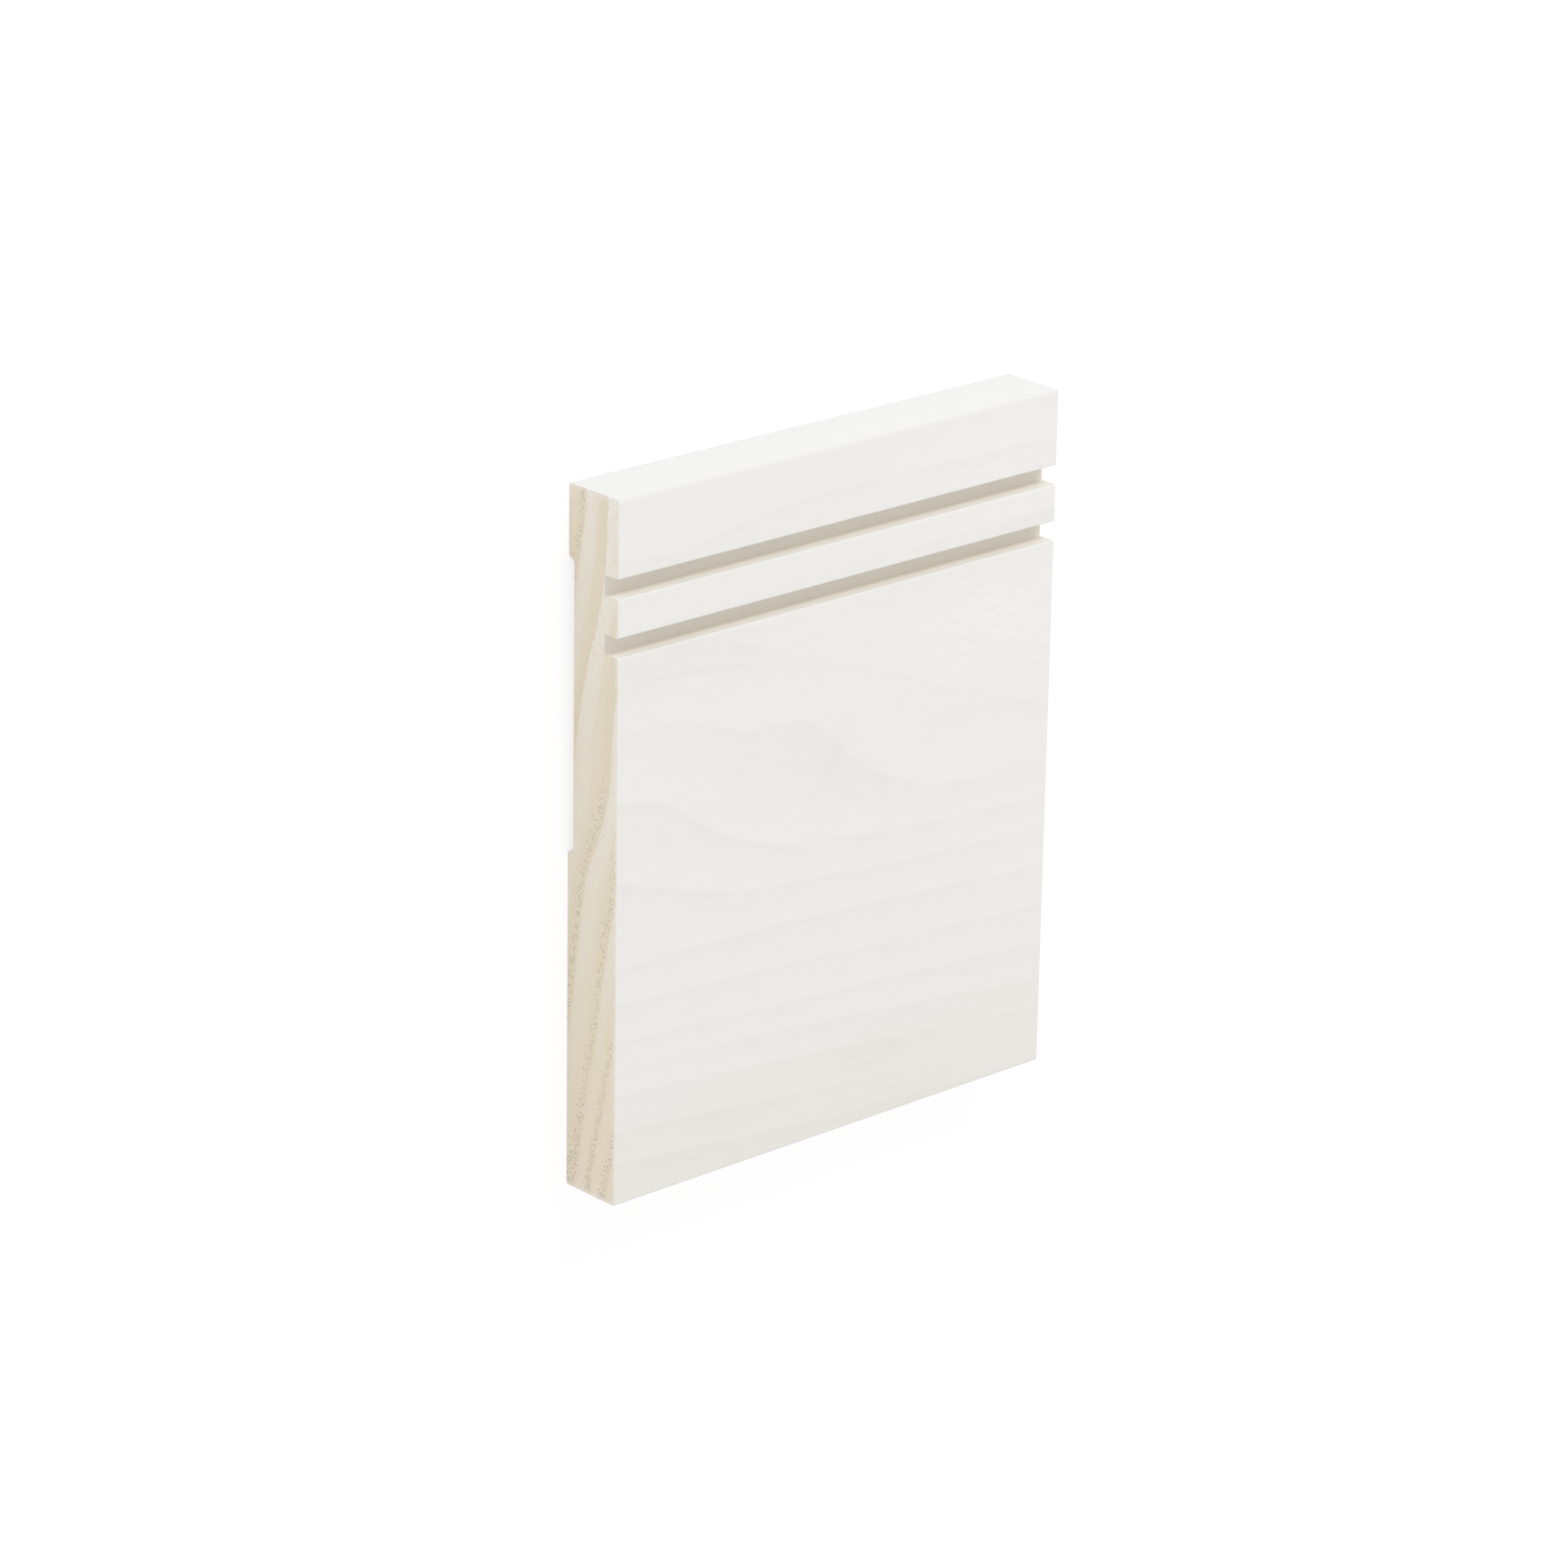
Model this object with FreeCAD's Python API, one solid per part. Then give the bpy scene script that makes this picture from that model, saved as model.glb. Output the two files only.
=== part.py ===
# A short length of square-edged skirting board, planed and grooved from one piece of pine.
# The board lies on its back with its show face up. X runs along the board, Y from the edge that
# meets the floor towards the top edge, and Z from the wall side to the show face.
# The origin is in the middle of the board, on the plane that its back rests on. Millimetres.

import FreeCAD
import Part
from FreeCAD import Vector

import os
from math import sin, tan

# Sawn length and planed section
board_length = 115.0
board_height = 145.0
board_thickness = 14.5

# Square grooves run along the show face, counted down from the top edge
groove_count = 2
top_band_height = 15.75
groove_height = 4.0
groove_depth = 4.0
rib_height = 7.8

# Shallow relief planed into the back, so that the board bears on the wall along two strips
upper_strip_height = 14.4
relief_height = 60.6
relief_depth = 1.6
relief_upper_shoulder = 1.0
relief_lower_shoulder = 1.4

# Eased arrises: the show face's long edges, the back's long edges, the grooves and the relief
face_arris_radius = 0.5
back_arris_radius = 0.3
groove_lip_radius = 0.25
groove_root_radius = 0.2
relief_corner_radius = 0.4
# An easing takes at most this share of the shorter side beside it
widest_easing = 0.45

top_edge = board_height / 2
bottom_edge = -board_height / 2


def groove_corners(upper_lip):
    """Corners of one square groove whose upper lip is at the given Y, from the upper lip down."""
    lower_lip = upper_lip - groove_height
    floor = board_thickness - groove_depth
    return [
        (upper_lip, board_thickness, groove_lip_radius),
        (upper_lip, floor, groove_root_radius),
        (lower_lip, floor, groove_root_radius),
        (lower_lip, board_thickness, groove_lip_radius),
    ]


def show_side_corners():
    """Corners from the top edge down the show face to the floor edge, grooves included."""
    corners = [(top_edge, board_thickness, face_arris_radius)]
    for number in range(groove_count):
        upper_lip = top_edge - top_band_height - number * (groove_height + rib_height)
        corners += groove_corners(upper_lip)
    corners.append((bottom_edge, board_thickness, face_arris_radius))
    return corners


def back_corners():
    """Corners from the floor edge up the back to the top edge, round the relief."""
    mouth_top = top_edge - upper_strip_height
    mouth_bottom = mouth_top - relief_height
    return [
        (bottom_edge, 0.0, back_arris_radius),
        (mouth_bottom, 0.0, relief_corner_radius),
        (mouth_bottom + relief_lower_shoulder, relief_depth, relief_corner_radius),
        (mouth_top - relief_upper_shoulder, relief_depth, relief_corner_radius),
        (mouth_top, 0.0, relief_corner_radius),
        (top_edge, 0.0, back_arris_radius),
    ]


def eased_corner(before, corner, after, radius):
    """Start, middle and end of the arc that eases a corner. They are one point where it stays sharp."""
    towards_before = (before - corner).normalize()
    towards_after = (after - corner).normalize()
    half_angle = towards_before.getAngle(towards_after) / 2
    shorter_side = min((before - corner).Length, (after - corner).Length)
    reach = min(radius / tan(half_angle), widest_easing * shorter_side)
    rounding = reach * tan(half_angle)
    inwards = (towards_before + towards_after).normalize()
    middle = corner + inwards * (rounding / sin(half_angle) - rounding)
    return corner + towards_before * reach, middle, corner + towards_after * reach


def section_wire(corners, station):
    """Closed outline through (y, z, radius) corners in the plane across the board at X = station."""
    points = [Vector(station, y, z) for y, z, _ in corners]
    arcs = []
    for index, (_, _, radius) in enumerate(corners):
        following = points[(index + 1) % len(points)]
        arcs.append(eased_corner(points[index - 1], points[index], following, radius))
    edges = []
    for index, (start, middle, end) in enumerate(arcs):
        if start != end:
            edges.append(Part.Arc(start, middle, end).toShape())
        next_start = arcs[(index + 1) % len(arcs)][0]
        edges.append(Part.LineSegment(end, next_start).toShape())
    return Part.Wire(edges)


def make_skirting_board():
    """The whole board: its planed section carried along its sawn length."""
    outline = section_wire(show_side_corners() + back_corners(), -board_length / 2)
    return Part.Face(outline).extrude(Vector(board_length, 0, 0))


os.makedirs("parts", exist_ok=True)
board = make_skirting_board()
board.exportStep("parts/skirting_board.step")
print("skirting_board", board.isValid(), board.ShapeType, round(board.Volume, 1), board.BoundBox)
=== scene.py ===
import math

import bpy
import numpy as np
from mathutils import Matrix, Vector


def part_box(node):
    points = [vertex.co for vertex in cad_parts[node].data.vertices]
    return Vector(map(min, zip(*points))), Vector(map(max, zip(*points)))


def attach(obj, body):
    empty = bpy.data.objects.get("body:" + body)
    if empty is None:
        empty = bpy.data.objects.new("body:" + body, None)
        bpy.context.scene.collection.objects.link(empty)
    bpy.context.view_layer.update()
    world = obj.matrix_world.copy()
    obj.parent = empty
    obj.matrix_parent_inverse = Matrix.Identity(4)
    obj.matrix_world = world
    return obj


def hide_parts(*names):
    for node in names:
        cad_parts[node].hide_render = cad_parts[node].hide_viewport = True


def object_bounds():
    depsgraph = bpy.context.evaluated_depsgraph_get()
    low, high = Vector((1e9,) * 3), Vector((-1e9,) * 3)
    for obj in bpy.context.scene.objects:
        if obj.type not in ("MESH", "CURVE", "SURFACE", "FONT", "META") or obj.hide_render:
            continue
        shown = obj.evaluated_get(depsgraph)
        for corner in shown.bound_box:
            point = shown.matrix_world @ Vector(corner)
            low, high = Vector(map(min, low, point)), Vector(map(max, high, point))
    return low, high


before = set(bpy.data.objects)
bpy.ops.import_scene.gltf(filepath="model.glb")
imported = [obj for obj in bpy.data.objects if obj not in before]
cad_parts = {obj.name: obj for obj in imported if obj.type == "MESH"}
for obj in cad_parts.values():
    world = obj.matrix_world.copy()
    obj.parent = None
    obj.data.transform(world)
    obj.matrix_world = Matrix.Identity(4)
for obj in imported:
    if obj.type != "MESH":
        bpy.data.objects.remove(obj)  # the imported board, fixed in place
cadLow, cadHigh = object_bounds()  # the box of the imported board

mm = 0.001  # sizes below are in millimetres unless a note says otherwise

# The board's section and the density of its mesh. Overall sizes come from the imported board.
board = {
    "topBand": 15.75,  # from the top edge down to the first groove
    "grooves": 2,
    "grooveHeight": 4.0,
    "grooveDepth": 4.0,
    "rib": 7.8,  # between the grooves
    "upperStrip": 14.4,  # bearing strip on the back, above the relief
    "relief": 60.6,
    "reliefDepth": 1.6,
    "upperShoulder": 1.0,
    "lowerShoulder": 1.4,
    "faceArris": 0.5,  # eased edges, as radii
    "backArris": 0.3,
    "lipRadius": 0.25,
    "rootRadius": 0.2,
    "arcSteps": 5,
    "rowStep": 0.5,  # mesh spacing across the show face
    "stationStep": 1.25,  # mesh spacing along the board
    "depthStep": 0.9,  # mesh spacing through the thickness
    "telegraph": 0.025,  # how deep the growth rings show through the coat
    "ringRise": 1.1,  # a ring's dark side sets in over this height
    "ringLead": 0.8,  # and starts this far above the ring's line
    "wallLightTone": [(0.9, 0), (2.5, 1)],  # depth into a groove, and how much of the walls' painted light, warmed by a thinner coat, it has
    "deepShadeTone": [(2.0, 0), (3.3, 1)],  # the same for the painted shade of its deepest part, where the coat is also thinnest
    "cornerPaintedLight": 0.4,  # how much less of that painted shade the corners have: painted light against their own shadow
    "edgeStrength": 0.3,  # strength of the rings on the long edges
}

# Growth rings on the show face. Each line gives points (mm from the left end, mm below the top edge).
showLines = [
    [(0, -9), (115, -12)],
    [(0, 13.1), (21, 13.0), (41, 9.8), (56, 9.4), (115, 10)],
    [(0, 27.5), (40, 25.9), (115, 25)],
    [(0, 28.6), (35, 33), (70, 43), (85, 44.5), (100, 49), (115, 54)],
    [(0, 30), (20, 32), (36, 37), (47, 42.6), (57, 44.9), (68, 49), (80, 53.8), (115, 66.9)],
    [(0, 47.5), (14, 48.1), (34, 54), (50, 56), (62, 66.5), (75, 74), (115, 79)],
    [(0, 61.3), (9, 62.8), (28, 74.5), (42, 79.9), (60, 82.3), (115, 86.9)],
    [(0, 77.5), (30, 86.6), (58, 89.6), (115, 93.5)],
    [(0, 95), (37, 96.4), (115, 101.9)],
    [(0, 102.8), (115, 110.6)],
    [(0, 110.6), (115, 118.8)],
    [(0, 116.9), (25, 118), (115, 126.9)],
    [(0, 121.9), (115, 133)],
    [(0, 129.4), (55, 135), (115, 139.5)],
    [(0, 136.3), (50, 141.3), (115, 144.6)],
    [(0, 149), (115, 155)],
]

# How strongly each of those lines shows: at the left end, in the middle and at the right end.
lineStrengths = [
    (0.4, 0.4, 0.4), (0.8, 0.6, 0.65), (0.5, 0.55, 0.75), (0.5, 0.2, 0.65),
    (0.6, 0.35, 0.6), (0.5, 1.0, 0.5), (0.85, 0.7, 0.6), (0.8, 0.8, 0.5),
    (0.75, 0.9, 0.5), (0.9, 0.7, 0.65), (0.75, 0.75, 0.7), (0.5, 0.7, 0.65),
    (0.6, 0.75, 0.6), (1.1, 0.6, 0.15), (1.0, 0.8, 0.6), (1.0, 1.0, 1.0),
]

# Places where the show face is drawn darker, or paler if the strength is below zero:
# mm from the left end, mm below the top edge, half the length, half the height, strength.
patches = [
    (54, 62, 14, 12, 0.33), (61, 71, 17, 7, 0.3), (20, 70, 15, 7, 0.2),
    (69, 131, 21, 7, 0.55), (32, 134, 25, 5, 0.4), (50, 142, 62, 6, 0.3), (78, 142, 30, 6, 0.25),
    (102, 45, 42, 20, -0.6), (100, 12, 44, 20, -0.4), (98, 72, 32, 9, -0.35),
]

# Places where long dark streaks run along the board, given in the same way.
bundles = [(20, 37, 50, 9.5, 0.4), (75, 35, 40, 6, 0.15)]

# The same tree's rings across the left end. Points (mm below the top edge, mm out from the back).
endBands = [
    [(0, -3), (145, -32)],
    [(0, 5.2), (9, 4.2), (18, 2.5), (145, -24)],
    [(0, 11.3), (17, 10.3), (24, 8.9), (34, 5.9), (44, 3.6), (60, 1), (145, -15)],
    [(0, 21), (35, 15), (45, 13.3), (60, 12.1), (66, 10.6), (78, 5.8), (90, 3.6), (102, 2.1), (145, -6)],
    [(0, 30), (77.5, 15), (97, 11), (109, 9.2), (121, 6.8), (133, 4.9), (145, 3)],
    [(0, 38), (109, 14.8), (117, 12.9), (125, 11.2), (134.5, 9), (145, 7.2)],
    [(0, 44), (132, 15), (137, 13.7), (145, 11.7)],
    [(0, 50), (145, 18)],
]

# Resin canals beside those lines: mm below the top edge, then the share of the places fit for a canal
# that have one, and the share of a ring's width past which it may have them.
canalChance = [
    (0, 0.9), (14, 0.6), (20, 0.08), (50, 0.05), (60, 0.4), (68, 0.65), (105, 0.45), (128, 0.55),
    (145, 0.8),
]
canalStart = [
    (0, 0.72), (14, 0.74), (20, 0.8), (60, 0.6), (75, 0.66), (110, 0.68), (128, 0.58), (145, 0.4),
]


def smoothThrough(points, at):
    # A curve through the points: on each stretch the cubic that meets its two ends with the slopes
    # that the neighbouring points give.
    px, py = np.array(points, float).T
    slope = np.gradient(py, px)
    left = np.clip(np.searchsorted(px, at) - 1, 0, len(px) - 2)
    width = px[left + 1] - px[left]
    t = (at - px[left]) / width
    rise = py[left + 1] - py[left]
    fromLeft = (1 - t) * (slope[left] * width - rise)
    fromRight = t * (rise - slope[left + 1] * width)
    return py[left] + t * rise + t * (1 - t) * (fromLeft + fromRight)


def ringNumber(value, lines):
    # Counts the lines below a value, with the share of the way from the last line to the next:
    # the sum over neighbouring lines of (value - line) / (next line - line), each held to 0..1.
    total = np.zeros(np.broadcast(value, lines[0]).shape)
    for here, following in zip(lines[:-1], lines[1:]):
        total += np.clip((value - here) / (following - here), 0, 1)
    return total


def showFigure(x, down):
    # Ring number on the show face, x along from the left end and down from the top edge.
    return ringNumber(down, [smoothThrough(line, x) for line in showLines])


def ringWidth(x, figure):
    # Width in mm of the ring that each place lies in: the next line's height less this line's.
    lines = np.array([smoothThrough(line, x) for line in showLines])
    return np.take_along_axis(np.diff(lines, axis=0), ringIndex(figure)[None], 0)[0]


def ringStrength(x, figure):
    # Strength of the ring that each place lies in, from the three that its line gives along the board.
    along = np.array([np.interp(x, (0, 57, 115), three) for three in lineStrengths])
    return np.take_along_axis(along, ringIndex(figure)[None], 0)[0]


def ringIndex(figure):
    # Whole ring number, the last ring's at most.
    return np.clip(np.floor(figure).astype(int), 0, len(showLines) - 2)


def patchTone(x, down, places):
    # Sum over the places of strength (1 - r^2)^2, r being the distance from the middle of a place as
    # a share of its reach in that direction, and nothing past r = 1.
    tone = np.zeros(len(x))
    for middleX, middleDown, halfLength, halfHeight, strength in places:
        r2 = ((x - middleX) / halfLength) ** 2 + ((down - middleDown) / halfHeight) ** 2
        tone += strength * np.clip(1 - r2, 0, 1) ** 2
    return tone


def growthRing(x, down, out):
    # Ring number anywhere in the wood. A ring keeps its number along the tree, so the place is first
    # carried back to the left end, to the height where the show face has the same ring.
    atLeftEnd = np.array([smoothThrough(line, 0.0) for line in showLines])
    carried = np.interp(showFigure(x, down), np.arange(len(showLines)), atLeftEnd)
    carried = np.clip(carried, 0, endBands[0][-1][0])
    return ringNumber(out, [smoothThrough(band, carried) for band in endBands])


def steppedRows(start, end, step):
    # Even rows from start to end, no wider than step.
    return np.linspace(start, end, max(2, math.ceil((end - start) / step) + 1))


def arcRows(start, radius, steps, growing):
    # Rows under a quarter circle, at start + r (1 - cos a), closest together where it is steepest.
    angle = np.linspace(0, math.pi / 2, steps + 1)
    if growing:
        return start + radius * (1 - np.cos(angle))
    return start - radius * (1 - np.cos(angle[::-1]))


def quarterRound(distance, radius):
    # How far a surface has dropped at a distance from its edge: r - sqrt(r^2 - (r - distance)^2).
    inside = np.clip(radius - distance, 0, radius)
    return radius - np.sqrt(radius**2 - inside**2)


def easedRamp(t):
    # 0 to 1 in a straight slope with both ends eased by a parabola.
    ease = 0.22
    height = 1 - ease
    low = np.clip(t, 0, ease) ** 2 / (2 * ease)
    middle = np.clip(t - ease, 0, 1 - 2 * ease)
    top = np.clip(t - 1 + ease, 0, ease)
    return (low + middle + top - top**2 / (2 * ease)) / height


def sectionRows(height):
    # Heights of the mesh rows, counted down from the top edge, and the first and last row of each
    # raised band of the show face. The grooves lie between the bands.
    b = board
    bandTops = [0.0]
    bandFeet = []
    for number in range(b["grooves"]):
        bandFeet.append(b["topBand"] + number * (b["grooveHeight"] + b["rib"]))
        bandTops.append(bandFeet[-1] + b["grooveHeight"])
    bandFeet.append(height)
    rows = []
    bands = []
    for number, (top, foot) in enumerate(zip(bandTops, bandFeet)):
        topRadius = b["faceArris"] if number == 0 else b["lipRadius"]
        footRadius = b["faceArris"] if number == b["grooves"] else b["lipRadius"]
        pieces = [
            arcRows(top, topRadius, b["arcSteps"], True),
            steppedRows(top + topRadius, foot - footRadius, b["rowStep"]),
            arcRows(foot, footRadius, b["arcSteps"], False),
        ]
        first = max(len(rows) - 1, 0)
        for piece in pieces:
            rows += list(piece[1:] if rows else piece)
        bands.append((first, len(rows) - 1))
        if number < b["grooves"]:
            floorEnd = foot + b["grooveHeight"]
            root = b["rootRadius"]
            rows += list(arcRows(foot, root, b["arcSteps"], True)[1:])
            rows += list(steppedRows(foot + root, floorEnd - root, b["rowStep"])[1:])
            rows += list(arcRows(floorEnd, root, b["arcSteps"], False)[1:])
    return np.array(rows), bands


def sectionSides(down, bands, thickness):
    # Distance of the back and of the show side from the wall plane, for every row.
    b = board
    mouthTop = b["upperStrip"]
    mouthFoot = mouthTop + b["relief"]
    intoRelief = easedRamp((down - mouthTop) / b["upperShoulder"])
    outOfRelief = easedRamp((mouthFoot - down) / b["lowerShoulder"])
    back = b["reliefDepth"] * np.minimum(intoRelief, outOfRelief)
    back = back + quarterRound(down, b["backArris"]) + quarterRound(down[-1] - down, b["backArris"])
    show = np.full(len(down), thickness - b["grooveDepth"])
    for number, (first, last) in enumerate(bands):
        inBand = slice(first, last + 1)
        topRadius = b["faceArris"] if number == 0 else b["lipRadius"]
        footRadius = b["faceArris"] if number == len(bands) - 1 else b["lipRadius"]
        drop = quarterRound(down[inBand] - down[first], topRadius)
        drop = drop + quarterRound(down[last] - down[inBand], footRadius)
        show[inBand] = thickness - drop
    floors = show.copy()
    for (_, foot), (top, _) in zip(bands[:-1], bands[1:]):
        inGroove = slice(foot, top + 1)
        fillet = quarterRound(down[inGroove] - down[foot], b["rootRadius"])
        fillet = fillet + quarterRound(down[top] - down[inGroove], b["rootRadius"])
        floors[inGroove] = thickness - b["grooveDepth"] + fillet
    return back, show, floors


def makeBoard():
    # The sawn end is a lattice of rows down the board and columns through its thickness. The outline
    # of that lattice is carried along the board in even stations, and both ends are closed by it.
    b = board
    low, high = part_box("skirting_board")
    length, height, thickness = (np.array(high) - np.array(low)) / mm
    down, bands = sectionRows(height)
    back, show, floors = sectionSides(down, bands, thickness)
    shelf = thickness - b["grooveDepth"] + b["rootRadius"]
    lowColumns = math.ceil(shelf / b["depthStep"])
    highColumns = math.ceil((thickness - shelf) / b["depthStep"])
    topColumn = lowColumns + highColumns

    # columns below the groove floors run from the back to the shelf, those above it to the face
    inBand = np.zeros(len(down), bool)
    for first, last in bands:
        inBand[first:last + 1] = True
    shelfHere = np.where(inBand, shelf, floors)
    lowShare = np.linspace(0, 1, lowColumns + 1)
    highShare = np.linspace(0, 1, highColumns + 1)[1:]
    lowPart = back[:, None] + (shelfHere - back)[:, None] * lowShare
    highPart = shelf + (show - shelf)[:, None] * highShare
    out = np.hstack([lowPart, highPart])
    used = np.ones(out.shape, bool)
    used[~inBand, lowColumns + 1:] = False
    number = np.full(out.shape, -1)
    number[used] = np.arange(used.sum())

    # cells between neighbouring rows and columns, those in the grooves left out
    sameBand = np.zeros(len(down) - 1, bool)
    for first, last in bands:
        sameBand[first:last] = True
    cellRow, cellColumn = np.nonzero(np.ones((len(down) - 1, topColumn), bool))
    kept = (cellColumn < lowColumns) | sameBand[cellRow]
    cellRow, cellColumn = cellRow[kept], cellColumn[kept]
    endCells = np.stack([
        number[cellRow, cellColumn],
        number[cellRow + 1, cellColumn],
        number[cellRow + 1, cellColumn + 1],
        number[cellRow, cellColumn + 1],
    ], 1)

    # the outline as (row, column) pairs: down the show side, across the floor edge, up the back
    path = []
    wall = np.arange(topColumn - 1, lowColumns - 1, -1)
    for place, (first, last) in enumerate(bands):
        path.append([(row, topColumn) for row in range(first, last + 1)])
        if place < len(bands) - 1:
            nextTop = bands[place + 1][0]
            path.append([(last, column) for column in wall])
            path.append([(row, lowColumns) for row in range(last + 1, nextTop)])
            path.append([(nextTop, column) for column in wall[::-1]])
    lastRow = len(down) - 1
    path.append([(lastRow, column) for column in range(topColumn - 1, 0, -1)])
    path.append([(row, 0) for row in range(lastRow, -1, -1)])
    path.append([(0, column) for column in range(1, topColumn)])
    outline = np.array([place for part in path for place in part])
    row, column = outline.T
    ringDown, ringOut = down[row], out[row, column]

    # outward direction of the outline: its tangent, turned a quarter
    ahead = np.roll(np.arange(len(row)), -1)
    behind = np.roll(np.arange(len(row)), 1)
    tangent = np.stack([ringDown[ahead] - ringDown[behind], ringOut[ahead] - ringOut[behind]], 1)
    tangent /= np.linalg.norm(tangent, axis=1)[:, None]
    outwards = np.stack([-tangent[:, 1], tangent[:, 0]], 1)

    # stations along the board, the outline pressed in a little where a ring's hard wood has shrunk
    along = steppedRows(0.0, length, b["stationStep"])
    flatX = np.repeat(along, len(row))
    figure = showFigure(flatX, np.tile(ringDown, len(along)) + b["ringLead"])
    shade = ringShade(figure, ringWidth(flatX, figure)) * ringStrength(flatX, figure)
    onShowSide = column >= lowColumns
    pressed = b["telegraph"] * np.minimum(shade, 1).reshape(len(along), -1) * onShowSide
    placeDown = ringDown + pressed * -outwards[:, 0]
    placeOut = ringOut + pressed * -outwards[:, 1]
    x = along - length / 2
    stations = np.stack([
        np.broadcast_to(x[:, None], placeDown.shape),
        height / 2 - placeDown,
        placeOut,
    ], 2)

    # lattices of the two ends first, then the stations between them
    latticeDown = np.broadcast_to(down[:, None], out.shape)[used]
    latticeOut = out[used]
    ends = []
    for station in (0, -1):
        end = np.stack([np.full(used.sum(), x[station]), height / 2 - latticeDown, latticeOut], 1)
        end[number[row, column]] = stations[station]
        ends.append(end)
    inner = stations[1:-1]
    points = np.concatenate([ends[0], ends[1], inner.reshape(-1, 3)])
    index = np.empty(stations.shape[:2], int)
    index[0] = number[row, column]
    index[-1] = number[row, column] + used.sum()
    index[1:-1] = 2 * used.sum() + np.arange(inner.shape[0] * inner.shape[1]).reshape(inner.shape[:2])
    onward = index[:, ahead]
    sides = np.stack([index[:-1], onward[:-1], onward[1:], index[1:]], 2).reshape(-1, 4)
    faces = np.concatenate([endCells, endCells[:, ::-1] + used.sum(), sides])

    # which finish each face has: 0 coated, 1 sawn end, 2 planed back
    isBack = (column == 0) & (column[ahead] == 0)
    finish = np.concatenate([
        np.full(2 * len(endCells), 1),
        np.tile(np.where(isBack, 2, 0), len(along) - 1),
    ])

    mesh = bpy.data.meshes.new("skirtingBoard")
    mesh.from_pydata((points * mm).tolist(), [], faces.tolist())
    mesh.update()
    mesh.polygons.foreach_set("material_index", finish.astype(np.int32))
    pointX = points[:, 0] + length / 2
    pointDown = height / 2 - points[:, 1]
    pointOut = points[:, 2]
    figure = showFigure(pointX, pointDown + b["ringLead"])
    growth = growthRing(pointX, pointDown, pointOut)
    onEdge = np.minimum(pointDown, height - pointDown) < b["backArris"]
    addNumbers(mesh, "showFigure", np.where(onEdge, growth, figure))
    addNumbers(mesh, "ringWidth", np.where(onEdge, thickness / 3, ringWidth(pointX, figure)))
    addNumbers(mesh, "ringStrength", np.where(onEdge, b["edgeStrength"], ringStrength(pointX, figure)))
    addNumbers(mesh, "growthRing", growth)
    addNumbers(mesh, "patch", np.where(onEdge, 0, patchTone(pointX, pointDown, patches)))
    addNumbers(mesh, "bundle", np.where(onEdge, 0, patchTone(pointX, pointDown, bundles)))
    addNumbers(mesh, "canalChance", np.interp(pointDown, *np.transpose(canalChance)))
    addNumbers(mesh, "canalStart", np.interp(pointDown, *np.transpose(canalStart)))
    addNumbers(mesh, "edgeCoat", np.where(onEdge, 1, 0))
    # painted shade round the show face's arrises: sin 2a, a being the angle round the arris
    turn = np.clip(1 - np.minimum(pointDown, height - pointDown) / b["faceArris"], 0, 1)
    onArris = pointOut > thickness - b["faceArris"] - 0.01
    addNumbers(mesh, "arrisShade", 2 * turn * np.sqrt(1 - turn**2) * onArris)
    # painted light on the groove walls and painted shade deep in the grooves, by depth into them
    depth = (thickness - pointOut) * ~onEdge
    across = np.zeros(len(points))
    for (_, foot), (top, _) in zip(bands[:-1], bands[1:]):
        share = (pointDown - down[foot]) / (down[top] - down[foot])
        across = np.maximum(across, 1 - (2 * share - 1) ** 2)
    addNumbers(mesh, "grooveWallLight", np.interp(depth, *np.transpose(b["wallLightTone"])))
    deepestShade = np.interp(depth, *np.transpose(b["deepShadeTone"]))
    # the corners get less of the painted shade, which is painted light against their shadow
    addNumbers(mesh, "grooveDeepShade", deepestShade * (1 - b["cornerPaintedLight"] + b["cornerPaintedLight"] * across))
    mesh.shade_smooth()
    mesh.set_sharp_from_angle(angle=math.radians(35))
    piece = bpy.data.objects.new("painted_board", mesh)
    bpy.context.scene.collection.objects.link(piece)
    print("board:", len(points), "points,", len(faces), "faces")
    return piece


def ringShade(figure, width):
    # Shade of a ring on the show face, t of its width from where it sets in and d mm from there:
    # 0.35 e^(-d/1.5) + 0.65 (1 - t)^1.1, times a smooth rise over the first stretch.
    t = figure % 1
    d = t * width
    rise = np.clip(d / board["ringRise"], 0, 1)
    return (0.35 * np.exp(-d / 1.5) + 0.65 * (1 - t) ** 1.1) * rise * rise * (3 - 2 * rise)


def addNumbers(mesh, name, values):
    # Stores one number for each point of the mesh, for its materials to read.
    attribute = mesh.attributes.new(name, "FLOAT", "POINT")
    attribute.data.foreach_set("value", values.astype(np.float32))


def linear(hexColour):
    # An sRGB colour written as hex, turned to the linear values that the shaders work in.
    channels = [int(hexColour[i:i + 2], 16) / 255 for i in (1, 3, 5)]
    return [c / 12.92 if c <= 0.04045 else ((c + 0.055) / 1.055) ** 2.4 for c in channels] + [1.0]


def addNode(tree, kind, settings={}, links={}):
    # Adds a node. A setting or link is named by its socket's name or number, or by a property. The
    # stops of a colour ramp are pairs of position and hex colour.
    node = tree.nodes.new("ShaderNode" + kind)
    for name, value in settings.items():
        if name == "stops":
            for number, (position, colour) in enumerate(value):
                ramp = node.color_ramp.elements
                stop = ramp[number] if number < len(ramp) else ramp.new(position)
                stop.position = position
                stop.color = linear(colour)
        elif isinstance(name, int) or name in node.inputs:
            node.inputs[name].default_value = value
        else:
            setattr(node, name, value)
    for name, source in links.items():
        tree.links.new(source, node.inputs[name])
    return node


def newMaterial(name):
    # A material with an empty tree but for the surface and the output.
    material = bpy.data.materials.new(name)
    material.use_nodes = True
    tree = material.node_tree
    tree.nodes.clear()
    surface = addNode(tree, "BsdfPrincipled")
    addNode(tree, "OutputMaterial", {}, {"Surface": surface.outputs["BSDF"]})
    return material, tree, surface


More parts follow.
